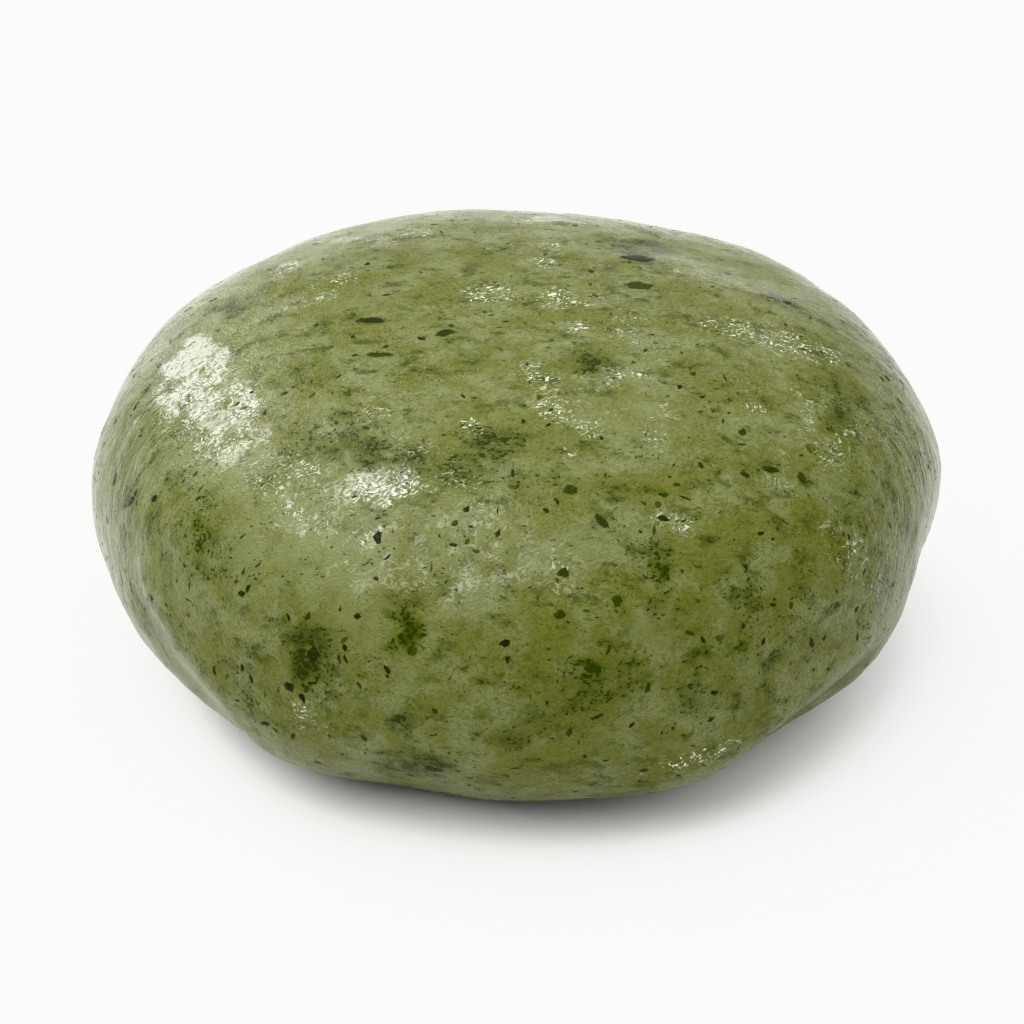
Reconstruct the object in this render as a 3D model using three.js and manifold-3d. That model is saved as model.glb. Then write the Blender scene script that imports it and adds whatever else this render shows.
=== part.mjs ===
// A kusa mochi: one lump of steamed rice dough, pounded with mugwort leaf and patted by hand
// into a thick round cake. It has sagged onto a flat rest face, its side bulges out over a
// tucked-under base, and the hand has left soft swells, a lip and two creases in the skin.
// The larger bits of leaf lie in the skin as thin flakes that stand a little proud of it.
//
// Millimetres, +Z up. The origin is the middle of the footprint, on the plane it rests on.
// The form is worked out as a radius from a point in the middle of the widest level, for each
// direction. Azimuth runs anticlockwise from +X seen from above, so the front (-Y) is at 270,
// and elevation is 0 at the widest level and 90 at the top. Both are in degrees.

import * as THREE from 'three';
import { mergeVertices } from 'three/addons/utils/BufferGeometryUtils.js';
import Module from 'manifold-3d';

// ---------------------------------------------------------------- driving dimensions

const MEAN_RADIUS = 29.0; // of the widest level
const WAIST_HEIGHT = 11.3; // the widest level above the rest face
const CROWN_RISE = 15.3; // from the widest level up to the top
const BELLY_DEPTH = 14.6; // from the widest level down, before the rest face cuts it flat
const CROWN_POWER = 2.65; // 2 is an ellipsoid, more gives a flatter top and a clearer shoulder
const BELLY_POWER = 2.15;
const CENTRE_SHIFT = [-0.1, -0.12]; // brings the middle of the footprint onto the origin

// How far the plan is from a circle: waves round the waist, as shares of the mean radius.
const PLAN_WAVES = [
  { waves: 1, cosine: 0.003, sine: 0.014 },
  { waves: 2, cosine: 0.010, sine: -0.003 },
  { waves: 3, cosine: 0.004, sine: 0.010 },
];

// Soft swells and hollows left by the hand, each a smooth hill as wide as its spread.
const SWELLS = [
  { name: 'right bulge', azimuth: 356, elevation: 3, spread: 11, lift: 0.75 },
  { name: 'right hollow', azimuth: 350, elevation: -4, spread: 11, lift: -1.1 },
  { name: 'back right swell', azimuth: 44, elevation: 20, spread: 11, lift: 0.3 },
  { name: 'back swell', azimuth: 100, elevation: 22, spread: 11, lift: 0.6 },
  { name: 'back left swell', azimuth: 120, elevation: 22, spread: 11, lift: 0.45 },
  { name: 'left shoulder', azimuth: 150, elevation: 16, spread: 11, lift: 0.25 },
  { name: 'left bulge', azimuth: 183, elevation: 3, spread: 11, lift: 0.6 },
  { name: 'front left bulge', azimuth: 237, elevation: -12, spread: 11, lift: 0.75 },
  { name: 'front left hollow', azimuth: 254, elevation: -14, spread: 11, lift: -0.65 },
  { name: 'front right bulge', azimuth: 296, elevation: -15, spread: 11, lift: 0.9 },
  { name: 'front right hollow', azimuth: 312, elevation: -12, spread: 11, lift: -0.3 },
  { name: 'leaf dimple', azimuth: 243, elevation: 7, spread: 3.2, lift: -0.35 },
];

// Creases in the skin. Each runs from one direction to another, with a rounded lip along it
// and a trough just under the lip; a negative lift makes a plain valley. Width is in degrees
// across the crease, and it fades out over the last stretch at both ends.
const CREASES = [
  {
    name: 'front right lip',
    from: { azimuth: 284, elevation: -15 },
    to: { azimuth: 330, elevation: 1 },
    width: 4.5, lift: 0.45, trough: 0.75, fade: 9,
  },
  {
    name: 'left crease',
    from: { azimuth: 206, elevation: 9 },
    to: { azimuth: 234, elevation: -7 },
    width: 4.5, lift: 0.4, trough: 0.35, fade: 8,
  },
  {
    name: 'back right valley',
    from: { azimuth: 66, elevation: 40 },
    to: { azimuth: 12, elevation: 33 },
    width: 8, lift: -0.45, trough: -0.15, fade: 16,
  },
];
const TROUGH_OFFSET = 1.6; // how many widths below the lip the trough lies

// The skin's triangles come from an icosahedron. The directions of its vertices are crowded
// towards the waist, so that they come out about the same size all over the flattened cake.
const SKIN_DETAIL = 19; // cuts a side on each of the 20 faces
const CROWDING = 0.62; // height of the flattened sphere that gives the directions

// The most prominent bits of leaf: where each lies, how long and wide it is in millimetres,
// and how its length is turned from level, in degrees.
const NAMED_FLAKES = [
  { azimuth: 188, elevation: 57, length: 2.2, width: 0.9, turn: 71 },
  { azimuth: 218, elevation: 69, length: 2.0, width: 0.7, turn: 77 },
  { azimuth: 214, elevation: 54, length: 2.0, width: 0.8, turn: 47 },
  { azimuth: 45, elevation: 50, length: 2.4, width: 1.4, turn: 49 },
  { azimuth: 24, elevation: 58, length: 2.1, width: 1.1, turn: 64 },
  { azimuth: 280, elevation: 32, length: 1.3, width: 0.8, turn: 174 },
  { azimuth: 243, elevation: 7, length: 1.7, width: 1.2, turn: 96 },
  { azimuth: 240, elevation: 2, length: 1.1, width: 0.9, turn: 149 },
  { azimuth: 255, elevation: 13, length: 2.3, width: 1.8, turn: 98 },
  { azimuth: 259, elevation: -8, length: 1.7, width: 1.0, turn: 179 },
  { azimuth: 249, elevation: 24, length: 1.3, width: 0.9, turn: 110 },
  { azimuth: 291, elevation: 20, length: 2.4, width: 1.5, turn: 102 },
  { azimuth: 280, elevation: 9, length: 1.9, width: 1.2, turn: 165 },
  { azimuth: 300, elevation: 8, length: 1.6, width: 0.8, turn: 4 },
  { azimuth: 321, elevation: 24, length: 1.2, width: 0.7, turn: 60 },
  { azimuth: 317, elevation: 27, length: 1.4, width: 0.7, turn: 141 },
];

// The other bits of leaf, spread evenly over the skin that is clear of the rest face.
const FLAKE_COUNT = 44;
const FLAKE_LENGTH = { largest: 1.9, smallest: 1.1 };
const FLAKE_SLIMNESS = { widest: 0.75, slimmest: 0.4 }; // width as a share of the length
const FLAKE_LOWEST = -20; // elevation of the lowest bits
const FLAKE_JITTER = 5; // degrees off the even spread
const FLAKE_CLEARANCE = 3; // between the middles of two flakes
const FLAKE_SIDES = 7;
const FLAKE_PROUD = 0.14; // how far a flake stands out of the skin
const FLAKE_SUNK = 0.4; // how far it reaches into the dough
const SEED = 7;

const GOLDEN_ANGLE = 180 * (3 - Math.sqrt(5));
const DOUGH_GREEN = 0x7d8649;

// ---------------------------------------------------------------- the form of the dough

const rad = THREE.MathUtils.degToRad;
const deg = THREE.MathUtils.radToDeg;

function direction(azimuth, elevation) {
  const level = Math.cos(rad(elevation));
  return new THREE.Vector3(
    level * Math.cos(rad(azimuth)),
    level * Math.sin(rad(azimuth)),
    Math.sin(rad(elevation)),
  );
}

// Distance from the centre to the smooth cake, before any swell or crease.
function cakeRadius(dir) {
  const azimuth = Math.atan2(dir.y, dir.x);
  let waist = MEAN_RADIUS;
  for (const { waves, cosine, sine } of PLAN_WAVES) {
    const wave = cosine * Math.cos(waves * azimuth) + sine * Math.sin(waves * azimuth);
    waist += MEAN_RADIUS * wave;
  }
  const above = dir.z >= 0;
  const power = above ? CROWN_POWER : BELLY_POWER;
  const height = above ? CROWN_RISE : BELLY_DEPTH;
  const across = Math.hypot(dir.x, dir.y) / waist;
  const up = Math.abs(dir.z) / height;
  return (across ** power + up ** power) ** (-1 / power);
}

function swellLift(dir, { azimuth, elevation, spread, lift }) {
  const away = deg(dir.angleTo(direction(azimuth, elevation)));
  return lift * Math.exp(-((away / spread) ** 2));
}

function creaseLift(dir, { from, to, width, lift, trough, fade }) {
  const run = to.azimuth - from.azimuth;
  const azimuth = deg(Math.atan2(dir.y, dir.x));
  const turned = THREE.MathUtils.euclideanModulo(azimuth - from.azimuth + 180, 360) - 180;
  const along = turned / run;
  const length = Math.abs(run);
  const fadeIn = THREE.MathUtils.smoothstep(along * length, 0, fade);
  const fadeOut = THREE.MathUtils.smoothstep((1 - along) * length, 0, fade);
  const middle = THREE.MathUtils.lerp(from.elevation, to.elevation, along);
  const across = (deg(Math.asin(THREE.MathUtils.clamp(dir.z, -1, 1))) - middle) / width;
  const lip = lift * Math.exp(-(across ** 2));
  const hollow = trough * Math.exp(-((across + TROUGH_OFFSET) ** 2));
  return fadeIn * fadeOut * (lip - hollow);
}

// A point of the skin. What would reach below the rest face is pressed flat onto it.
function skinPoint(dir) {
  let radius = cakeRadius(dir);
  for (const swell of SWELLS) radius += swellLift(dir, swell);
  for (const crease of CREASES) radius += creaseLift(dir, crease);
  const point = dir.clone().multiplyScalar(radius);
  point.x += CENTRE_SHIFT[0];
  point.y += CENTRE_SHIFT[1];
  point.z = Math.max(point.z + WAIST_HEIGHT, 0);
  return point;
}

// The skin's outward direction, and the level and rising directions along it.
function skinFrame(azimuth, elevation) {
  const step = 0.5;
  const east = skinPoint(direction(azimuth + step, elevation));
  east.sub(skinPoint(direction(azimuth - step, elevation)));
  const north = skinPoint(direction(azimuth, elevation + step));
  north.sub(skinPoint(direction(azimuth, elevation - step)));
  const out = new THREE.Vector3().crossVectors(east, north).normalize();
  const level = new THREE.Vector3(0, 0, 1).cross(out).normalize();
  const rising = new THREE.Vector3().crossVectors(out, level);
  return { out, level, rising };
}

function doughGeometry() {
  const geometry = new THREE.IcosahedronGeometry(1, SKIN_DETAIL);
  const position = geometry.attributes.position;
  const dir = new THREE.Vector3();
  for (let i = 0; i < position.count; i++) {
    dir.fromBufferAttribute(position, i);
    dir.z *= CROWDING;
    dir.normalize();
    const point = skinPoint(dir);
    position.setXYZ(i, point.x, point.y, point.z);
  }
  return geometry;
}

// ---------------------------------------------------------------- the bits of leaf

// A repeatable draw between 0 and 1.
function drawer(seed) {
  let state = seed;
  return () => {
    state = (state * 16807) % 2147483647;
    return state / 2147483647;
  };
}
const draw = drawer(SEED);
const between = (low, high) => low + (high - low) * draw();

// One flake: an uneven, roughly oval piece of leaf of even thickness.
function flakeGeometry({ azimuth, elevation, length, width, turn }) {
  const outline = new THREE.Shape();
  for (let side = 0; side < FLAKE_SIDES; side++) {
    const angle = (2 * Math.PI * (side + between(-0.2, 0.2))) / FLAKE_SIDES;
    const reach = between(0.85, 1.1) / 2;
    const x = length * reach * Math.cos(angle);
    const y = width * reach * Math.sin(angle);
    if (side === 0) outline.moveTo(x, y);
    else outline.lineTo(x, y);
  }
  outline.closePath();
  const thickness = FLAKE_PROUD + FLAKE_SUNK;
  const geometry = new THREE.ExtrudeGeometry(outline, { depth: thickness, bevelEnabled: false });
  geometry.translate(0, 0, -FLAKE_SUNK);
  geometry.rotateZ(rad(turn));
  const { out, level, rising } = skinFrame(azimuth, elevation);
  const place = new THREE.Matrix4().makeBasis(level, rising, out);
  place.setPosition(skinPoint(direction(azimuth, elevation)));
  return geometry.applyMatrix4(place);
}

// The named flakes, then the rest on a golden-angle spiral from the top down, each skipped
// where it would crowd one that is there already.
function flakes() {
  const laid = [...NAMED_FLAKES];
  const middles = laid.map((flake) => skinPoint(direction(flake.azimuth, flake.elevation)));
  const lowest = Math.sin(rad(FLAKE_LOWEST));
  for (let i = 0; i < FLAKE_COUNT; i++) {
    const share = (i + 0.5) / FLAKE_COUNT;
    const height = THREE.MathUtils.lerp(1, lowest, share);
    const flake = {
      azimuth: i * GOLDEN_ANGLE + between(-FLAKE_JITTER, FLAKE_JITTER),
      elevation: deg(Math.asin(height)) + between(-FLAKE_JITTER, FLAKE_JITTER),
      length: between(FLAKE_LENGTH.smallest, FLAKE_LENGTH.largest),
      turn: between(0, 180),
    };
    flake.width = flake.length * between(FLAKE_SLIMNESS.slimmest, FLAKE_SLIMNESS.widest);
    const middle = skinPoint(direction(flake.azimuth, flake.elevation));
    if (middles.every((other) => other.distanceTo(middle) > FLAKE_CLEARANCE)) {
      laid.push(flake);
      middles.push(middle);
    }
  }
  return laid.map(flakeGeometry);
}

// ---------------------------------------------------------------- joining them

const wasm = await Module();
wasm.setup();

function toSolid(geometry) {
  const bare = geometry.clone();
  bare.deleteAttribute('normal');
  bare.deleteAttribute('uv');
  const merged = mergeVertices(bare, 1e-5);
  return new wasm.Manifold(new wasm.Mesh({
    numProp: 3,
    vertProperties: new Float32Array(merged.attributes.position.array),
    triVerts: new Uint32Array(merged.index.array),
  }));
}

function toGeometry(solid) {
  const { vertProperties, triVerts } = solid.getMesh();
  const geometry = new THREE.BufferGeometry();
  geometry.setAttribute('position', new THREE.BufferAttribute(vertProperties, 3));
  geometry.setIndex(new THREE.BufferAttribute(triVerts, 1));
  geometry.computeVertexNormals();
  return geometry;
}

let cake = toSolid(doughGeometry());
for (const flake of flakes()) cake = cake.add(toSolid(flake));

const mochi = new THREE.Mesh(
  toGeometry(cake),
  new THREE.MeshStandardMaterial({ color: DOUGH_GREEN, roughness: 0.35, metalness: 0 }),
);
mochi.name = 'mochi';

const part = new THREE.Group();
part.add(mochi);

export default part;
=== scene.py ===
import math

import bpy
import numpy as np
from mathutils import Matrix, Vector, noise
from mathutils.bvhtree import BVHTree


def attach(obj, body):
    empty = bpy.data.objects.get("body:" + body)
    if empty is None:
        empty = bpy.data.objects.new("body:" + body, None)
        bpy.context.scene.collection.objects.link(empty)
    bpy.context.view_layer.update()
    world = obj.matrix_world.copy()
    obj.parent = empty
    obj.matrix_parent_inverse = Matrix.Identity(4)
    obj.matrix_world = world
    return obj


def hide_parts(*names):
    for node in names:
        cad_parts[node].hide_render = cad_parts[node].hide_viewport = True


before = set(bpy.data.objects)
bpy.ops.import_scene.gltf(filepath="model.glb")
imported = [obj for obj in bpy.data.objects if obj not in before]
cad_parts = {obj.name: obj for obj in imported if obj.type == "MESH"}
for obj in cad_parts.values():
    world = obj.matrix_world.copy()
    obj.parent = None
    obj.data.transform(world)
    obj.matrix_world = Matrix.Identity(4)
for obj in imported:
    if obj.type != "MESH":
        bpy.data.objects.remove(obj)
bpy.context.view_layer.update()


# ---------------------------------------------------------------- the rice cake
# One lump of steamed glutinous rice dough, pounded with mugwort leaf until it is green right
# through, then patted by hand into a thick round cake. It has sagged onto a flat rest face,
# and the damp skin has drawn up into fine crinkles, soft swells, a lip and two creases.

MM = 0.001
MEAN_RADIUS = 29.0
WAIST_HEIGHT = 11.3
CROWN_RISE = 15.3
BELLY_DEPTH = 14.6
CROWN_POWER = 2.65
BELLY_POWER = 2.15
CENTRE = np.array([-0.1, -0.12, WAIST_HEIGHT])
CORE = Vector(CENTRE * MM)

# waves round the waist, and their cosine and sine as shares of the mean radius
PLAN_WAVES = [(1, 0.003, 0.014), (2, 0.010, -0.003), (3, 0.004, 0.010)]

# soft swells and hollows left by the hand: azimuth, elevation, spread in degrees, lift in mm
SWELLS = [
    (356, 3, 11, 0.75), (350, -4, 11, -1.1), (44, 20, 11, 0.3), (100, 22, 11, 0.6),
    (120, 22, 11, 0.45), (150, 16, 11, 0.25), (183, 3, 11, 0.6), (237, -12, 11, 0.75),
    (254, -14, 11, -0.65), (296, -15, 11, 0.9), (312, -12, 11, -0.3), (243, 7, 3.2, -0.35),
]

# creases: from and to (azimuth, elevation), width in degrees, lip, trough, fade
CREASES = [
    ((284, -15), (330, 1), 4.5, 0.45, 0.75, 9),
    ((206, 9), (234, -7), 4.5, 0.4, 0.35, 8),
    ((66, 40), (12, 33), 8.0, -0.45, -0.15, 16),
]
TROUGH_OFFSET = 1.6

GRID = 128         # squares along each side of the six patches that make up the skin
CROWDING = 0.62    # gathers the squares towards the waist, so that they come out alike


def direction(azimuth, elevation):
    azimuth, elevation = np.radians(azimuth), np.radians(elevation)
    level = np.cos(elevation)
    return np.stack([level * np.cos(azimuth), level * np.sin(azimuth), np.sin(elevation)], -1)


def smooth_step(t):
    t = np.clip(t, 0, 1)
    return t * t * (3 - 2 * t)


def skin_points(dirs):
    """Points of the smooth skin, in mm, along unit directions from the middle of the waist."""
    azimuth = np.arctan2(dirs[:, 1], dirs[:, 0])
    elevation = np.degrees(np.arcsin(np.clip(dirs[:, 2], -1, 1)))
    waist = np.full(len(dirs), MEAN_RADIUS)
    for waves, cosine, sine in PLAN_WAVES:
        waist += MEAN_RADIUS * (cosine * np.cos(waves * azimuth) + sine * np.sin(waves * azimuth))
    above = dirs[:, 2] >= 0
    power = np.where(above, CROWN_POWER, BELLY_POWER)
    height = np.where(above, CROWN_RISE, BELLY_DEPTH)
    across = np.hypot(dirs[:, 0], dirs[:, 1]) / waist
    radius = (across ** power + (np.abs(dirs[:, 2]) / height) ** power) ** (-1 / power)
    for swell_azimuth, swell_elevation, spread, lift in SWELLS:
        nearness = np.clip(dirs @ direction(swell_azimuth, swell_elevation), -1, 1)
        radius += lift * np.exp(-(np.degrees(np.arccos(nearness)) / spread) ** 2)
    for start, stop, width, lip, trough, fade in CREASES:
        run = stop[0] - start[0]
        along = ((np.degrees(azimuth) - start[0] + 180) % 360 - 180) / run
        window = smooth_step(along * abs(run) / fade) * smooth_step((1 - along) * abs(run) / fade)
        q = (elevation - start[1] - (stop[1] - start[1]) * along) / width
        radius += window * (lip * np.exp(-q ** 2) - trough * np.exp(-(q + TROUGH_OFFSET) ** 2))
    points = dirs * radius[:, None] + CENTRE
    points[:, 2] = np.maximum(points[:, 2], 0)
    return points


PROBE_STEP = 0.5   # degrees to the points that give the slope of the skin


def skin_frame(azimuth, elevation):
    """A point of the smooth skin, with the level, rising and outward directions there."""
    step = PROBE_STEP
    around = [(azimuth, elevation), (azimuth + step, elevation), (azimuth - step, elevation),
              (azimuth, elevation + step), (azimuth, elevation - step)]
    here, east, west, north, south = skin_points(np.array([direction(a, e) for a, e in around]))
    out = np.cross(east - west, north - south)
    out /= np.linalg.norm(out)
    level = np.cross([0, 0, 1], out)
    level /= np.linalg.norm(level)
    return here, level, np.cross(out, level), out


EDGE_POWER = 1.5   # how sharply an oval patch ends: 1 is a bell, more gives a firmer edge
LEAST_REACH = 4    # mm; even a small patch takes in skin half this far off its own level


def patch(points, azimuth, elevation, length, width, turn, softness=1.0):
    """How far each point is inside an oval patch of skin: 1 in the middle, 0 outside."""
    here, level, rising, out = skin_frame(azimuth, elevation)
    turn = math.radians(turn)
    gap = points - here
    x, y = gap @ level, gap @ rising
    u = (x * math.cos(turn) + y * math.sin(turn)) / (length / 2)
    v = (y * math.cos(turn) - x * math.sin(turn)) / (width / 2)
    inside = np.exp(-((u * u + v * v) / softness) ** EDGE_POWER)
    return inside * (np.abs(gap @ out) < 0.5 * max(length, width, LEAST_REACH))


def noise_at(points, wavelength, seed=0.0):
    shifted = points / wavelength + seed
    return np.array([noise.noise(p) for p in shifted])


def layered_noise(points, layers, level=0.0):
    """Noise of several sizes about a level. A layer is its strength, its wavelength in mm and
    its seed."""
    total = np.full(len(points), float(level))
    for strength, wavelength, seed in layers:
        total += strength * noise_at(points, wavelength, seed)
    return total


MAP_INSET = 0.01   # share of a face's side left clear round it when the six are laid out flat


def cube_grid(cuts):
    """Directions and squares of a cube's six faces, each cut evenly by angle, and where each
    corner of each square lies when the six faces are laid out flat, three by two."""
    span = np.tan(np.linspace(-math.pi / 4, math.pi / 4, cuts + 1))
    b, a = np.meshgrid(span, span, indexing="ij")
    one = np.ones_like(a)
    sides = [(one, a, b), (-one, -a, b), (-a, one, b), (a, -one, b), (-b, a, one), (b, a, -one)]
    corners = np.concatenate([np.stack(side, -1).reshape(-1, 3) for side in sides])
    row, column = np.meshgrid(np.arange(cuts), np.arange(cuts), indexing="ij")
    first = (row * (cuts + 1) + column).ravel()
    square = np.stack([first, first + 1, first + cuts + 2, first + cuts + 1], -1)
    squares = np.concatenate([square + side * (cuts + 1) ** 2 for side in range(6)])
    merged, place = np.unique(np.round(corners, 9), axis=0, return_inverse=True)
    side, within = np.divmod(squares.ravel(), (cuts + 1) ** 2)
    row, column = np.divmod(within, cuts + 1)
    across = (side % 3 + MAP_INSET + (1 - 2 * MAP_INSET) * column / cuts) / 3
    up = (side // 3 + MAP_INSET + (1 - 2 * MAP_INSET) * row / cuts) / 2
    return merged, place.ravel()[squares], np.stack([across, up], -1)


corners, squares, laid_flat = cube_grid(GRID)
corners[:, 2] *= CROWDING
dirs = corners / np.linalg.norm(corners, axis=1)[:, None]
skin = skin_points(dirs)

# how much of the relief a point takes: none where the cake is pressed onto what it lies on
PRESSED_HEIGHT = 0.05
FREEING_HEIGHT = 2.5
freedom = smooth_step((skin[:, 2] - PRESSED_HEIGHT) / FREEING_HEIGHT)

# Where the surface has dried into a tight crinkle that glitters, through its relief and gloss and
# through painted glints on its ridges. All such lists of patches of skin hold azimuth, elevation,
# length, width, turn and strength.
CRINKLED = [
    (199, 29, 15.0, 7.5, 4, 1.0), (248, 31, 4.2, 3.2, 64, 1.0), (75, 53, 2.4, 1.4, 103, 1.0),
    (19, 78, 3.4, 3.2, 133, 1.0), (12, 71, 2.6, 3.0, 159, 1.0), (325, 71, 2.2, 2.2, 31, 1.0),
    (279, 61, 2.2, 2.2, 69, 1.0), (279, 49, 1.8, 3.0, 74, 1.0), (282, 39, 1.5, 1.4, 69, 1.0),
    (133, 80, 4.8, 4.2, 0, 0.9), (355, 44, 5.0, 3.4, 90, 1.0), (355, 37, 6.0, 4.0, 100, 1.0),
    (149, 36, 2.6, 3.0, 82, 1.0), (156, 48, 2.6, 2.2, 94, 0.9), (243, -2, 3.6, 2.6, 145, 0.8),
    (294, -7, 8.0, 1.6, 12, 0.9), (311, 52, 1.8, 3.2, 36, 0.9), (327, 35, 1.8, 1.6, 147, 0.9),
    (296, 25, 3.6, 1.6, 141, 0.9), (300, 54, 3.6, 4.6, 41, 0.6), (259, 44, 2.4, 1.4, 148, 0.9),
    (288, 43, 2.2, 4.0, 166, 0.6), (302, 39, 4.2, 4.8, 158, 0.5), (121, 42, 7.0, 4.4, 148, 0.6),
    (323, 11, 4.0, 10.0, 35, 0.6), (236, 22, 9.5, 4.5, 171, 0.3), (355, 31, 4.5, 3.0, 110, 0.9),
    (72, 65, 2.4, 2.0, 0, 1.0), (246, 31, 6.0, 2.8, 25, 0.8),
    (229, 28, 8.0, 4.5, 15, 0.7), (237, 25, 8.0, 4.0, 5, 0.5),
    (24, 78, 3.0, 3.6, 20, 1.0), (279, 58, 2.0, 3.6, 80, 1.0), (281, 46, 1.8, 4.0, 80, 0.8),
]
# it gathers in loose clumps, and a little of it lies everywhere, most of that on top
CLUMPS = [(1.1, 1.7, 31.0), (0.9, 0.7, 41.0)]
CLUMPS_LEVEL = 0.6
SCATTER = [(1.1, 5.0, 51.0)]
SCATTER_LEVEL = 0.28
CRINKLED_ANYWHERE = 0.1
CRINKLED_ON_TOP = 0.42
TOP_STARTS = 16
TOP_BLEND = 6
EVEN_SHARE = 0.35   # of the crinkle in a patch; the rest of it keeps to the clumps
clumps = smooth_step(layered_noise(skin, CLUMPS, CLUMPS_LEVEL))
scattered = smooth_step(layered_noise(skin, SCATTER, SCATTER_LEVEL))
upper = smooth_step((skin[:, 2] - TOP_STARTS) / TOP_BLEND)
crinkled = (CRINKLED_ANYWHERE + CRINKLED_ON_TOP * upper) * scattered * clumps
for azimuth, elevation, length, width, turn, strength in CRINKLED:
    inside = strength * patch(skin, azimuth, elevation, length, width, turn)
    crinkled = np.maximum(crinkled, inside * (EVEN_SHARE + (1 - EVEN_SHARE) * clumps))
crinkled = np.clip(crinkled, 0, 1) * freedom

# where a film of water lies on the skin and mirrors the light
WET = [
    (186, 30, 8.5, 4.4, 20, 1.0), (203, 30, 6.4, 4.6, 170, 1.0), (213, 28, 5.2, 3.8, 30, 1.0),
    (193, 22, 5.0, 6.0, 60, 0.9), (246, 31, 6.0, 2.8, 25, 0.9), (206, 37, 5.0, 2.6, 10, 0.7),
    (262, 23, 22.0, 7.0, 0, 0.48), (239, 25, 10.0, 6.0, 170, 0.45), (30, 64, 2.2, 1.0, 90, 0.9),
    (330, 72, 1.6, 0.9, 40, 0.9), (279, 49, 1.4, 1.6, 74, 0.9), (356, 40, 3.0, 1.4, 100, 0.8),
]
# the film is torn along its edge
TEARS = [(0.9, 1.5, 81.0), (0.5, 0.6, 91.0)]
WET_SOFTNESS = 1.4
WET_FROM = 0.25
WET_STEEPNESS = 2.2
torn = layered_noise(skin, TEARS)
wet = np.zeros(len(skin))
for azimuth, elevation, length, width, turn, strength in WET:
    inside = strength * patch(skin, azimuth, elevation, length, width, turn, WET_SOFTNESS)
    wet = np.maximum(wet, smooth_step(WET_STEEPNESS * (inside * (1 + torn) - WET_FROM)))

# the relief of the skin, in mm: soft swells and puckers all over
PUCKERS = [(0.16, 9.0, 0.0), (0.09, 4.2, 5.0), (0.055, 2.1, 13.0)]
relief = layered_noise(skin, PUCKERS)
# the finest ones are deepest where the skin has crinkled
FINE_PUCKER = [(1.0, 1.1, 9.0)]
FINE_HEIGHT = 0.035
CRINKLE_HEIGHT = 0.05
relief += (FINE_HEIGHT + CRINKLE_HEIGHT * crinkled) * layered_noise(skin, FINE_PUCKER)
# level wrinkles in one patch along the front edge of the top
WRINKLED_EDGE = (285, 33, 24.0, 7.0, 170)
LEVEL_WRINKLES = [(1.0, 1.5, 17.0)]
LEVEL_WRINKLE_HEIGHT = 0.09
DRAWN_OUT = [0.3, 1.0, 1.0]   # makes them run along x
folded = LEVEL_WRINKLE_HEIGHT * patch(skin, *WRINKLED_EDGE)
relief += folded * layered_noise(skin * DRAWN_OUT, LEVEL_WRINKLES)
# a low seam that wanders over the top from back to front
SEAM_X = 3.3
SEAM_HEIGHT = 0.10
SEAM_WIDTH = 0.6
SEAM_MEANDER = [(2.2, 6.0, 3.0), (1.2, 2.0, 4.0)]
SEAM_RISE = 11.0    # above the waist, where it starts
SEAM_BLEND = 2.5
on_top = smooth_step((skin[:, 2] - WAIST_HEIGHT - SEAM_RISE) / SEAM_BLEND)
off_seam = skin[:, 0] - SEAM_X - layered_noise(skin, SEAM_MEANDER)
relief += SEAM_HEIGHT * on_top * np.exp(-(off_seam / SEAM_WIDTH) ** 2)
skin += dirs * (relief * freedom)[:, None]
skin[:, 2] = np.maximum(skin[:, 2], 0)


def mesh_object(name, points, faces):
    made = bpy.data.meshes.new(name)
    made.from_pydata((points * MM).tolist(), [], faces.tolist())
    made.update()
    thing = bpy.data.objects.new(name, made)
    bpy.context.scene.collection.objects.link(thing)
    return thing


def shade_smooth(thing):
    count = len(thing.data.polygons)
    thing.data.polygons.foreach_set("use_smooth", np.ones(count, bool))


def point_value(thing, name, values):
    """A number at each point, which the material reads by name."""
    kept = thing.data.attributes.new(name, "FLOAT", "POINT")
    kept.data.foreach_set("value", np.asarray(values, np.float32))


cake = mesh_object("rice_cake", skin, squares)
shade_smooth(cake)
flat_map = cake.data.uv_layers.new(name="OFBake")
flat_map.data.foreach_set("uv", laid_flat.ravel())

# where more pounded leaf darkens the dough in a soft cloud; the cloud at azimuth 311 is painted
# shade in the recess under the lip, and the broad faint one at azimuth 304 darkens the right front
# a little
LEAF_CLOUDS_AND_SHADE = [
    (243, 7, 4.6, 3.8, 93, 0.8), (257, -8, 5.6, 4.0, 31, 0.75), (52, 44, 6.2, 5.3, 74, 0.6),
    (14, 34, 4.6, 3.0, 44, 0.6), (168, 33, 4.5, 2.1, 38, 0.6), (266, 41, 5.4, 2.6, 4, 0.6),
    (338, 26, 3.4, 3.0, 144, 0.4), (280, 6, 5.6, 3.6, 174, 0.45), (273, 2, 3.8, 2.2, 178, 0.4),
    (231, 38, 6.5, 2.9, 28, 0.35), (202, 13, 2.7, 3.4, 110, 0.45), (256, 0, 2.4, 2.2, 7, 0.6),
    (271, -1, 1.7, 1.2, 180, 0.6), (294, 2, 4.6, 3.0, 165, 0.3), (232, -1, 5.7, 4.0, 22, 0.3),
    (327, 4, 4.1, 5.1, 40, 0.3), (303, 58, 4.4, 3.4, 128, 0.55), (345, 26, 5.4, 4.1, 70, 0.3),
    (326, 18, 3.9, 11.5, 71, 0.2), (291, 21, 3.4, 3.0, 64, 0.4), (284, 26, 3.8, 1.7, 137, 0.3),
    (239, 35, 9.0, 3.4, 8, 0.5), (261, 36, 9.0, 3.6, 0, 0.4), (311, -10, 8.0, 6.0, 30, 0.35),
    (304, 8, 12.0, 12.0, 0, 0.12), (207, 42, 6.4, 3.2, 45, 0.3), (222, 15, 3.9, 7.3, 93, 0.35),
]
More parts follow.
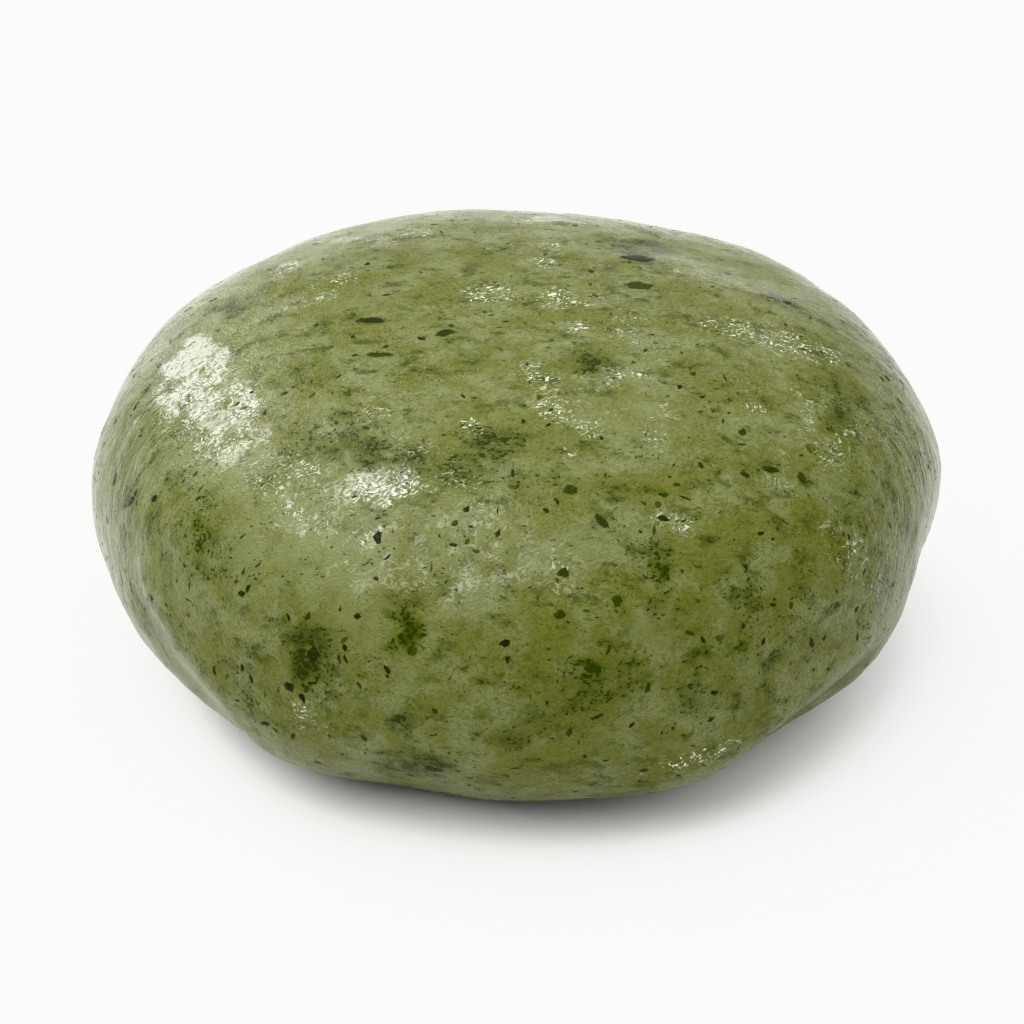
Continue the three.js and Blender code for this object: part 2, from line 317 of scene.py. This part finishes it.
# where a lump of leaf lies just under the skin and shines through, strong green
GREEN_LUMPS = [
    (303, 57, 2.6, 1.9, 128, 0.75), (267, 41, 2.9, 1.1, 176, 0.6), (258, 37, 1.8, 0.8, 30, 0.5),
    (256, 13, 2.5, 2.0, 88, 0.9), (291, 20, 2.4, 1.4, 64, 0.95), (284, 17, 1.3, 0.8, 58, 0.9),
    (279, 9, 2.6, 1.5, 180, 0.85), (300, 8, 2.5, 1.1, 148, 0.75), (266, 3, 1.2, 1.2, 6, 0.6),
    (220, 18, 3.2, 2.6, 88, 0.5), (261, 20, 1.2, 0.9, 23, 0.6), (295, 30, 2.2, 0.9, 157, 0.6),
    (316, 27, 1.8, 1.2, 157, 0.6), (300, 25, 2.0, 0.9, 173, 0.5), (255, -7, 2.4, 0.9, 170, 0.5),
    (243, 7, 2.0, 1.7, 16, 0.6), (188, 57, 2.6, 1.2, 71, 0.5), (214, 54, 2.4, 1.0, 47, 0.5),
]
# where the dough is paler, with less leaf in it; the broad patch at azimuth 262 and the last four,
# over the front shoulder, are painted sheen
PALE_DOUGH_AND_SHEEN = [
    (262, 24, 16.0, 5.0, 0, 0.5), (301, 42, 8.0, 4.4, 157, 0.6), (277, 24, 5.2, 2.2, 18, 0.5),
    (264, 16, 5.8, 2.6, 4, 0.5), (288, 13, 3.4, 2.8, 169, 0.7), (218, 9, 2.9, 10.6, 82, 0.6),
    (170, 52, 6.4, 3.1, 84, 0.4), (209, 67, 4.0, 2.3, 54, 0.4), (236, 22, 9.1, 3.7, 171, 0.6),
    (276, 36, 8.9, 2.0, 176, 0.3), (311, 11, 5.3, 2.5, 160, 0.2), (208, 22, 2.6, 6.7, 108, 0.5),
    (222, -9, 9.0, 3.0, 150, 0.4), (233, 20, 7.0, 6.5, 0, 1.0), (246, 19, 6.0, 6.0, 0, 0.8),
    (218, 25, 6.0, 5.0, 20, 0.6), (249, 13, 5.0, 4.0, 0, 0.5),
]
# all three kinds have a ragged edge
RAGGED = [(0.8, 1.6, 61.0), (1.0, 0.7, 71.0)]
ragged = layered_noise(skin, RAGGED, 1)


def clouds(places):
    """How strong the patches at these places are together, at each point of the skin."""
    total = np.zeros(len(skin))
    for azimuth, elevation, length, width, turn, strength in places:
        total += strength * patch(skin, azimuth, elevation, length, width, turn) * ragged
    return np.clip(total, 0, 1)


# the left and right sides of the cake begin this far from the middle, in mm
SIDE_STARTS = 17
SIDE_BLEND = 9
point_value(cake, "crinkled", crinkled)
point_value(cake, "wet", wet)
point_value(cake, "side", smooth_step((np.abs(skin[:, 0]) - SIDE_STARTS) / SIDE_BLEND) * freedom)
point_value(cake, "leaf_cloud_and_shade", clouds(LEAF_CLOUDS_AND_SHADE))
point_value(cake, "green_lump", clouds(GREEN_LUMPS))
point_value(cake, "pale_dough_and_sheen", clouds(PALE_DOUGH_AND_SHEEN))


def add(tree, kind, inputs=(), **settings):
    """A shader node with its settings, and the value or link of each socket, which goes by its
    name, or by its number where several share a name."""
    made = tree.nodes.new("ShaderNode" + kind)
    for name, value in settings.items():
        setattr(made, name, value)
    for socket, value in dict(inputs).items():
        if isinstance(value, bpy.types.NodeSocket):
            tree.links.new(value, made.inputs[socket])
        else:
            made.inputs[socket].default_value = value
    return made


def worked_out(tree, operation, a, b=0.0, c=0.0):
    """The result of a sum of two or three values."""
    made = add(tree, "Math", {0: a, 1: b, 2: c}, operation=operation)
    return made.outputs[0]


def blend_colour(tree, share, a, b):
    """Colour a, with this share of colour b over it."""
    made = add(tree, "Mix", {0: share, 6: a, 7: b}, data_type="RGBA")
    return made.outputs[2]


def ramp(tree, value, low, high, out_low=0.0, out_high=1.0):
    """A value eased from one pair of ends to another, and held beyond them."""
    made = add(tree, "MapRange", {0: value, 1: low, 2: high, 3: out_low, 4: out_high},
               interpolation_type="SMOOTHSTEP")
    return made.outputs[0]


def new_group(name, inputs, outputs):
    """A node group with these sockets, and its inner input and output nodes."""
    group = bpy.data.node_groups.new(name, "ShaderNodeTree")
    for label, kind, value in inputs:
        socket = group.interface.new_socket(label, in_out="INPUT", socket_type=kind)
        if value is not None:
            socket.default_value = value
    for label, kind in outputs:
        group.interface.new_socket(label, in_out="OUTPUT", socket_type=kind)
    return group, group.nodes.new("NodeGroupInput"), group.nodes.new("NodeGroupOutput")


def in_millimetres(tree):
    place = add(tree, "TexCoord")
    scaled = add(tree, "VectorMath", {0: place.outputs["Object"], 3: 1 / MM}, operation="SCALE")
    return scaled.outputs[0]


# Damp rice skin dries into short fine strokes, laid one way here and another way there. The
# group puts out their height, from 0 to 1, and where one stands up by itself as a ridge.
crinkle_group, crinkle_in, crinkle_out = new_group(
    "fine_crinkle",
    [("Point", "NodeSocketVector", None), ("Strokes Per Millimetre", "NodeSocketFloat", 5.6)],
    [("Height", "NodeSocketFloat"), ("Ridge", "NodeSocketFloat")])
DRIFT_PER_MM = 0.9
DRIFT_REACH = 1.6                # mm between the furthest that they stray to either side
STROKE_TURN = (0.3, 0.2, 0.5)
STROKE_SLIMNESS = 0.45
RIDGE_LEVELS = (0.57, 0.68)      # of the strokes' height, where a ridge starts and is full
drift = add(crinkle_group, "TexNoise", {"Vector": crinkle_in.outputs["Point"],
                                        "Scale": DRIFT_PER_MM, "Detail": 2.0, "Roughness": 0.6})
away = add(crinkle_group, "VectorMath", {0: drift.outputs["Color"], 1: (0.5, 0.5, 0.5)},
           operation="SUBTRACT")
bent = add(crinkle_group, "VectorMath",
           {0: away.outputs[0], 1: (DRIFT_REACH,) * 3, 2: crinkle_in.outputs["Point"]},
           operation="MULTIPLY_ADD")
turned = add(crinkle_group, "Mapping", {"Vector": bent.outputs[0], "Rotation": STROKE_TURN,
                                        "Scale": (1 / STROKE_SLIMNESS, 1, 1)},
             vector_type="TEXTURE")
strokes = add(crinkle_group, "TexNoise", {
    "Vector": turned.outputs[0], "Scale": crinkle_in.outputs["Strokes Per Millimetre"],
    "Detail": 1.0, "Roughness": 0.6})
crinkle_group.links.new(strokes.outputs[0], crinkle_out.inputs["Height"])
crinkle_group.links.new(ramp(crinkle_group, strokes.outputs[0], *RIDGE_LEVELS),
                        crinkle_out.inputs["Ridge"])

dough = bpy.data.materials.new("mugwort_dough")
dough.use_nodes = True
tree = dough.node_tree
tree.nodes.clear()
point = in_millimetres(tree)
crinkled_here = add(tree, "Attribute", attribute_name="crinkled").outputs["Fac"]
cloud_and_shade_here = add(tree, "Attribute", attribute_name="leaf_cloud_and_shade").outputs["Fac"]
lump_here = add(tree, "Attribute", attribute_name="green_lump").outputs["Fac"]
pale_and_sheen_here = add(tree, "Attribute", attribute_name="pale_dough_and_sheen").outputs["Fac"]
wet_here = add(tree, "Attribute", attribute_name="wet").outputs["Fac"]
side_here = add(tree, "Attribute", attribute_name="side").outputs["Fac"]
crinkle = add(tree, "Group", {"Point": point}, node_tree=crinkle_group)
stroke_height, ridge = crinkle.outputs["Height"], crinkle.outputs["Ridge"]

YELLOW_GREEN = (0.082, 0.088, 0.023, 1)
MILKY_GREEN = (0.109, 0.119, 0.050, 1)
DEEP_GREEN = (0.029, 0.039, 0.006, 1)
HALO_GREEN = (0.046, 0.062, 0.006, 1)
LUMP_GREEN = (0.012, 0.021, 0.0015, 1)
DUST_GREEN = (0.010, 0.015, 0.0010, 1)
PAINTED_GLINT_WHITE = (0.70, 0.75, 0.62, 1)

# Milky dough is marbled with yellower dough, and darker where more leaf is in it. A ramp here
# is the two levels of a pattern or mask between which a colour comes in, then its least and
# its greatest share.
MARBLING = (0.40, 0.62)
LEAFY = (0.49, 0.70, 0, 0.85)
SHADED_HOLLOWS = (0.56, 0.36, 0, 0.42)
CLOUD_AND_SHADE = (0.0, 0.9, 0, 0.95)
PALE_AND_SHEEN_SHARE = 0.75
LEVEL_STREAKS = (0.7, 1.0, 1.0)   # draws the leafy streaks out along x
marble = add(tree, "TexNoise", {"Vector": point, "Scale": 0.30, "Detail": 3.0, "Roughness": 0.6})
laid = add(tree, "VectorMath", {0: point, 1: LEVEL_STREAKS}, operation="MULTIPLY")
leafy = add(tree, "TexNoise", {"Vector": laid.outputs[0], "Scale": 0.75, "Detail": 4.0,
                               "Roughness": 0.68})
colour = blend_colour(tree, ramp(tree, marble.outputs[0], *MARBLING), YELLOW_GREEN, MILKY_GREEN)
colour = blend_colour(tree, ramp(tree, leafy.outputs[0], *LEAFY), colour, DEEP_GREEN)
# painted shade: the hollows between the fine strokes are darkened in the colour
colour = blend_colour(tree, ramp(tree, stroke_height, *SHADED_HOLLOWS), colour, DEEP_GREEN)
# pale dough, and painted sheen over the front shoulder
paled_and_sheened = worked_out(tree, "MULTIPLY", pale_and_sheen_here, PALE_AND_SHEEN_SHARE)
colour = blend_colour(tree, paled_and_sheened, colour, MILKY_GREEN)
# leaf clouds, and painted shade in the recess under the lip
colour = blend_colour(tree, ramp(tree, cloud_and_shade_here, *CLOUD_AND_SHADE), colour, DEEP_GREEN)

# the sides have sagged into long fine wrinkles that run down from the back of the top, with painted
# shade in their grooves
WRINKLE_SLANT = math.radians(-31)
WRINKLE_LENGTH = 3.5              # times the width
WRINKLES_PER_MM = 1.5
SHADED_GROOVES = (0.52, 0.38, 0, 0.4)
hanging = add(tree, "Mapping", {"Vector": point, "Rotation": (WRINKLE_SLANT, 0, 0),
                                "Scale": (WRINKLE_LENGTH, 1, WRINKLE_LENGTH)},
              vector_type="TEXTURE")
wrinkles = add(tree, "TexNoise", {"Vector": hanging.outputs[0], "Scale": WRINKLES_PER_MM,
                                  "Detail": 2.0, "Roughness": 0.65, "Distortion": 0.7})
# painted shade: the grooves of the side wrinkles are darkened in the colour
shaded_grooves = worked_out(tree, "MULTIPLY", ramp(tree, wrinkles.outputs[0], *SHADED_GROOVES), side_here)
colour = blend_colour(tree, shaded_grooves, colour, DEEP_GREEN)

# a lump of leaf shines through the dough: strong green round a dark middle
HALO = (0.0, 0.9, 0, 0.85)
LUMP = (0.45, 1.1, 0, 0.75)
colour = blend_colour(tree, ramp(tree, lump_here, *HALO), colour, HALO_GREEN)
colour = blend_colour(tree, ramp(tree, lump_here, *LUMP), colour, LUMP_GREEN)

# leaf dust: fine dark grains, thick where the dough is leafy and in the clouds
GRAINS_PER_MM = 4.6
MORE_IN_CLOUDS_AND_SHADE = 0.22
MORE_IN_LUMPS = 0.16
MORE_WHERE_LEAFY = 0.55
DUSTY = (0.94, 1.02, 0, 0.9)
grain = add(tree, "TexNoise", {"Vector": laid.outputs[0], "Scale": GRAINS_PER_MM, "Detail": 1.5})
gathered = worked_out(tree, "MULTIPLY", cloud_and_shade_here, MORE_IN_CLOUDS_AND_SHADE)
gathered = worked_out(tree, "MULTIPLY_ADD", lump_here, MORE_IN_LUMPS, gathered)
gathered = worked_out(tree, "MULTIPLY_ADD", leafy.outputs[0], MORE_WHERE_LEAFY, gathered)
dusty = worked_out(tree, "ADD", grain.outputs[0], gathered)
colour = blend_colour(tree, ramp(tree, dusty, *DUSTY), colour, DUST_GREEN)

# painted glints: the ridges of the crinkled skin are painted pale, in place of the glints of light
# on them
GLINTING = (0.15, 0.95, 0, 0.75)
painted_glints = worked_out(tree, "MULTIPLY", ridge, ramp(tree, crinkled_here, *GLINTING))
colour = blend_colour(tree, painted_glints, colour, PAINTED_GLINT_WHITE)

# The strokes and ridges stand up by these heights in mm, from smooth skin to crinkled, and
# the water over them evens them out.
STROKE_RELIEF = (0.0, 1.0, 0.085, 0.11)
RIDGE_RELIEF = (0.0, 1.0, 0.0, 0.035)
EVENED_OUT = (0.0, 1.0, 1.0, 0.45)
SIDE_WRINKLE_DEPTH = 0.17
height = worked_out(tree, "MULTIPLY", stroke_height, ramp(tree, crinkled_here, *STROKE_RELIEF))
ridge_relief = ramp(tree, crinkled_here, *RIDGE_RELIEF)
height = worked_out(tree, "MULTIPLY_ADD", ridge, ridge_relief, height)
height = worked_out(tree, "MULTIPLY", height, ramp(tree, wet_here, *EVENED_OUT))
wrinkle_depth = worked_out(tree, "MULTIPLY", side_here, SIDE_WRINKLE_DEPTH)
height = worked_out(tree, "MULTIPLY_ADD", wrinkles.outputs[0], wrinkle_depth, height)

# dried skin is smoother, and the film of water shines on the tops of the strokes, and over
# more of them where it lies deeper
SMOOTHING = (0.0, 0.8, 0.28, 0.15)
DEEPER_FILM = 0.24
SHINING_STROKES = (0.60, 0.80, 0, 0.6)
FILM_EDGE = (0.0, 0.3)
roughness = ramp(tree, crinkled_here, *SMOOTHING)
film = worked_out(tree, "MULTIPLY_ADD", wet_here, DEEPER_FILM, stroke_height)
film = ramp(tree, film, *SHINING_STROKES)
film = worked_out(tree, "MULTIPLY", film, ramp(tree, wet_here, *FILM_EDGE))
bump = add(tree, "Bump", {"Height": height, "Strength": 1.0, "Distance": 1.0 * MM})
surface = add(tree, "BsdfPrincipled", {
    "Base Color": colour, "Roughness": roughness,
    "Normal": bump.outputs[0], "IOR": 1.2, "Subsurface Weight": 0.25,
    "Coat Weight": film, "Coat Roughness": 0.12, "Coat IOR": 1.5,
    "Subsurface Radius": (1.0, 1.1, 0.3), "Subsurface Scale": 1.2 * MM})
add(tree, "OutputMaterial", {"Surface": surface.outputs[0]})
cake.data.materials.append(dough)

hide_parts("mochi")
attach(cake, "root")

skin_tree = BVHTree.FromPolygons([Vector(p) for p in skin * MM], squares.tolist())


# ---------------------------------------------------------------- the bits of leaf
# Mugwort leaf goes into the dough boiled and chopped. Most of it is pounded to juice, and the
# rest stays as thin wet bits, nearly black, that lie in the skin with a rim just proud of it.

# the largest bits: azimuth, elevation, length, width, turn
LARGE_BITS = [
    (188, 57, 2.5, 1.3, 71), (218, 69, 2.0, 1.0, 77), (214, 54, 2.2, 0.9, 47),
    (45, 50, 2.9, 2.0, 49), (24, 58, 2.3, 1.6, 64), (280, 32, 1.3, 0.9, 174),
    (14, 34, 0.8, 0.7, 107), (243, 7, 1.6, 1.1, 96), (240, 2, 1.0, 0.8, 149),
    (242, 1, 1.0, 0.6, 124), (234, 1, 0.8, 0.35, 109), (236, -5, 1.2, 0.45, 22),
    (231, 12, 0.8, 0.6, 19), (249, 14, 0.6, 0.5, 12), (247, 8, 0.9, 0.25, 106),
    (248, 8, 0.8, 0.3, 117), (250, 5, 0.9, 0.3, 124), (260, 3, 0.6, 0.45, 124),
    (259, -8, 1.6, 0.9, 179), (195, 12, 1.1, 0.7, 110), (203, 13, 1.0, 0.7, 69),
    (208, 16, 0.9, 0.6, 30), (249, 24, 1.2, 0.8, 110), (277, 21, 0.9, 0.8, 16),
    (276, 16, 0.8, 0.7, 170), (284, 17, 1.0, 0.8, 58), (280, 9, 1.4, 0.8, 165),
    (295, 10, 0.7, 0.35, 111), (312, 4, 1.0, 0.55, 111), (287, 5, 0.6, 0.5, 45),
    (287, -8, 0.8, 0.5, 18), (321, 24, 1.2, 0.6, 60), (312, 28, 0.9, 0.6, 132),
    (317, 27, 1.4, 0.6, 141), (299, 30, 0.7, 0.4, 169), (296, 29, 0.8, 0.5, 170),
    (284, 27, 1.5, 0.7, 127), (294, 26, 1.1, 0.6, 152), (321, 5, 0.6, 0.4, 27),
]


CORNER_STRAY = 0.3          # how far a corner strays round the rim, as a share of one side
RIM_REACH = (0.62, 1.12)    # least and greatest reach of a corner, as shares of half the length
POINTEDNESS = 0.35          # how much slimmer a bit is at its two ends
CURVE = 0.4                 # the most that its length may curve to a side
ROOT_DEPTH = 0.1            # mm that its underside reaches into the dough


def bit_of_leaf(azimuth, elevation, length, width, turn, draw, sides, rings):
    """Points and faces of one bit: a ragged leaf-shaped plate, let into the skin at its rim."""
    here, level, rising, out = skin_frame(azimuth, elevation)
    turn = math.radians(turn)
    stray = draw.uniform(-CORNER_STRAY, CORNER_STRAY, sides)
    angle = (np.arange(sides) + stray) * (2 * math.pi / sides)
    reach = draw.uniform(*RIM_REACH, sides) / 2
    rim_x = length * reach * np.cos(angle)
    rim_y = width * reach * np.sin(angle) * (1 - POINTEDNESS * np.cos(angle) ** 2)
    rim_y += draw.uniform(-CURVE, CURVE) * rim_x ** 2 / length
    share = np.repeat([ring[0] for ring in rings], sides)
    x = np.append(share * np.tile(rim_x, len(rings)), [0, 0])
    y = np.append(share * np.tile(rim_y, len(rings)), [0, 0])
    lift = np.repeat([ring[1] for ring in rings], sides)
    lift = np.append(lift, [rings[-1][1], -ROOT_DEPTH])
    spots = here + np.outer(x * math.cos(turn) - y * math.sin(turn), level)
    spots += np.outer(x * math.sin(turn) + y * math.cos(turn), rising)
    points = []
    for spot, rise in zip(spots, lift):
        ray = Vector(spot * MM) - CORE
        hit = skin_tree.ray_cast(CORE, ray.normalized())[0]
        points.append(np.array(hit) / MM + out * rise)
    near = np.arange(sides)
    after = (near + 1) % sides
    last = sides * (len(rings) - 1)
    top, bottom = np.full(sides, last + sides), np.full(sides, last + sides + 1)
    faces = [np.stack([after, near, bottom], -1), np.stack([near + last, after + last, top], -1)]
    for start in range(0, last, sides):
        a, b, c, d = near + start, after + start, after + start + sides, near + start + sides
        faces += [np.stack([a, b, c], -1), np.stack([a, c, d], -1)]
    return np.array(points), np.concatenate(faces)


def joined_bits(name, places, sides, rings, fading, draw):
    """One piece of all the bits. The fading is how pale the palest is, up to 1."""
    points, faces, shades, start = [], [], [], 0
    for place in places:
        bit, around = bit_of_leaf(*place, draw, sides, rings)
        points.append(bit)
        faces.append(around + start)
        shades.append(np.full(len(bit), fading * draw.uniform()))
        start += len(bit)
    thing = mesh_object(name, np.concatenate(points), np.concatenate(faces))
    shade_smooth(thing)
    point_value(thing, "shade", np.concatenate(shades))
    return thing


SEED = 11
draw = np.random.RandomState(SEED)
# rings from the rim to the middle: share of the outline, height over the skin in mm
WIDE_RINGS = [(1.0, -0.015), (0.85, 0.012), (0.55, 0.02), (0.25, 0.022)]
NARROW_RINGS = [(1.0, -0.01), (0.7, 0.014)]
LARGE_SIDES, SMALL_SIDES = 14, 7
LARGE_FADING, SMALL_FADING = 0.6, 1.0
large_bits = joined_bits("large_leaf_bits", LARGE_BITS, LARGE_SIDES, WIDE_RINGS, LARGE_FADING, draw)

# the many small ones: far more small than middling, and gathered here and there
SMALL_BITS = 7500            # tried; about two in five find a place
LOWEST_BIT = -26             # elevation; under it the cake is pressed flat
SHORTEST_BIT = 0.13
LENGTH_RANGE = 0.85
FEW_LONG = 4.5               # the higher, the fewer long ones
SLIMNESS = (0.22, 0.75)      # width as a share of the length
CROWD_SIZE = 3.5             # mm
EVEN_CHANCE = 0.5
CROWD_CHANCE = 1.6
small_places = []
for rise in draw.uniform(-1, 1, SMALL_BITS):
    azimuth = draw.uniform(0, 360)
    elevation = math.degrees(math.atan2(CROWDING * rise, math.sqrt(1 - rise * rise)))
    length = SHORTEST_BIT + LENGTH_RANGE * draw.uniform() ** FEW_LONG
    width = length * draw.uniform(*SLIMNESS)
    turn = draw.uniform(0, 180)
    crowd = noise.noise(Vector(direction(azimuth, elevation) * MEAN_RADIUS / CROWD_SIZE))
    if elevation > LOWEST_BIT and draw.uniform() < EVEN_CHANCE + CROWD_CHANCE * crowd:
        small_places.append((azimuth, elevation, length, width, turn))
small_bits = joined_bits("small_leaf_bits", small_places, SMALL_SIDES, NARROW_RINGS, SMALL_FADING,
                         draw)

leaf = bpy.data.materials.new("wet_leaf")
leaf.use_nodes = True
tree = leaf.node_tree
tree.nodes.clear()
point = in_millimetres(tree)
shade = add(tree, "Attribute", attribute_name="shade").outputs["Fac"]
veins = add(tree, "TexNoise", {"Vector": point, "Scale": 5.0, "Detail": 1.0})
BLACK_GREEN = (0.0050, 0.0065, 0.0010, 1)
LEAF_GREEN = (0.012, 0.020, 0.0010, 1)
FADED_LEAF = (0.026, 0.036, 0.0020, 1)
# the blackest bits, the green ones and the faded ones, by the shade of each bit
GREEN_SHADES = (0.1, 0.6)
FADED_SHADES = (0.6, 1.0)
VEINS = (0.45, 0.7, 0, 0.4)
VEIN_ROUGHNESS = (0.3, 0.7, 0.3, 0.45)
LEAF_RELIEF = 0.05
colour = blend_colour(tree, ramp(tree, shade, *GREEN_SHADES), BLACK_GREEN, LEAF_GREEN)
colour = blend_colour(tree, ramp(tree, shade, *FADED_SHADES), colour, FADED_LEAF)
colour = blend_colour(tree, ramp(tree, veins.outputs[0], *VEINS), colour, FADED_LEAF)
crinkle = add(tree, "Group", {"Point": point}, node_tree=crinkle_group)
bump = add(tree, "Bump", {"Height": crinkle.outputs["Height"], "Strength": 1.0,
                          "Distance": LEAF_RELIEF * MM})
surface = add(tree, "BsdfPrincipled", {
    "Base Color": colour, "Roughness": ramp(tree, veins.outputs[0], *VEIN_ROUGHNESS),
    "Normal": bump.outputs[0], "IOR": 1.34, "Specular IOR Level": 0.2})
add(tree, "OutputMaterial", {"Surface": surface.outputs[0]})
for bits in (large_bits, small_bits):
    bits.data.materials.append(leaf)
    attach(bits, "root")


# ---------------------------------------------------------------- the table top
# A wide, plain, near-white board.

FLOOR_SIDE = 3.0
corner = FLOOR_SIDE / 2
floor_points = np.array([(-corner, -corner, 0), (corner, -corner, 0), (corner, corner, 0),
                         (-corner, corner, 0)]) / MM
floor = mesh_object("table_top", floor_points, np.array([[0, 1, 2, 3]]))
white = bpy.data.materials.new("white_board")
white.use_nodes = True
matt = white.node_tree.nodes["Principled BSDF"]
matt.inputs["Base Color"].default_value = (0.8, 0.8, 0.8, 1)
matt.inputs["Roughness"].default_value = 0.9
matt.inputs["Specular IOR Level"].default_value = 0.0
floor.data.materials.append(white)


# ---------------------------------------------------------------- light and camera
# A pale soft room, brightest overhead. A window stands behind the cake on its left, with a
# second one above it and a narrow strip beside it, and a large sheet of light hangs over the
# left front.

LIGHT_DISTANCE = 0.6


def soft_light(name, low, high, spread, radiance, shape="RECTANGLE"):
    """An even light that faces the cake and reaches from one direction to another, given as
    azimuth and elevation. spread is how wide the cake sees it, in degrees."""
    low, high = Vector(direction(*low)), Vector(direction(*high))
    towards = (low + high).normalized()
    across = (high - low).cross(towards).normalized()
    data = bpy.data.lights.new(name, "AREA")
    data.shape = shape
    data.size = 2 * LIGHT_DISTANCE * math.tan(math.radians(spread / 2))
    data.size_y = 2 * LIGHT_DISTANCE * math.tan(low.angle(high) / 2)
    area = data.size * data.size_y * (math.pi / 4 if shape == "ELLIPSE" else 1)
    data.energy = radiance * math.pi * area
    light = bpy.data.objects.new(name, data)
    turned = Matrix((across, towards.cross(across), towards)).transposed().to_4x4()
    light.matrix_world = Matrix.Translation(CORE + towards * LIGHT_DISTANCE) @ turned
    bpy.context.scene.collection.objects.link(light)


soft_light("window", (119, 9), (144, 42), 15, 8.5)
soft_light("upper_window", (134, 57), (134, 75), 14, 8.0)
soft_light("sheet", (205, 28), (205, 88), 72, 4.4, "ELLIPSE")
soft_light("back_strip", (78, 12), (86, 60), 5, 2.5)

# how bright the room is towards each side: the side, how bright, how closely gathered there
ROOM = [((0.14, 0.04, 0.99), 2.3, 2), ((0.38, -0.53, 0.76), 0.62, 3), ((0, -1, 0), 0.2, 1),
        ((-1, 0, 0), 0.15, 1), ((0, 1, 0), 0.35, 1), ((0.94, 0, 0.34), 0.58, 2)]
world = bpy.data.worlds.new("pale_room")
world.use_nodes = True
tree = world.node_tree
towards = add(tree, "TexCoord").outputs["Generated"]
brightness = 0.0
for side, strength, gathering in ROOM:
    facing = add(tree, "VectorMath", {0: towards, 1: side}, operation="DOT_PRODUCT")
    facing = worked_out(tree, "MAXIMUM", facing.outputs["Value"], 0.0)
    facing = worked_out(tree, "POWER", facing, gathering)
    brightness = worked_out(tree, "MULTIPLY_ADD", facing, strength, brightness)
tree.links.new(brightness, tree.nodes["Background"].inputs["Strength"])
tree.nodes["Background"].inputs["Color"].default_value = (1, 1, 1, 1)
bpy.context.scene.world = world

# the camera looks down on the front of the cake
CAMERA_ELEVATION = 31.0
CAMERA_DISTANCE = 220.0
FRAME_WIDTH = 72.2      # mm across the picture at the cake
AIM = np.array([-0.25, -0.12, 10.36])
SENSOR = 36.0
camera_data = bpy.data.cameras.new("camera")
camera_data.sensor_width = SENSOR
camera_data.lens = SENSOR * CAMERA_DISTANCE / FRAME_WIDTH
camera_data.clip_start = 0.01
camera = bpy.data.objects.new("camera", camera_data)
camera.location = Vector((AIM + CAMERA_DISTANCE * direction(270, CAMERA_ELEVATION)) * MM)
camera.rotation_euler = (math.radians(90 - CAMERA_ELEVATION), 0, 0)
bpy.context.scene.collection.objects.link(camera)
scene = bpy.context.scene
scene.camera = camera
scene.view_settings.view_transform = "Khronos PBR Neutral"
scene.view_settings.look = "None"
scene.cycles.use_denoising = True
scene.cycles.max_bounces = 5
scene.cycles.diffuse_bounces = 3
scene.cycles.glossy_bounces = 2
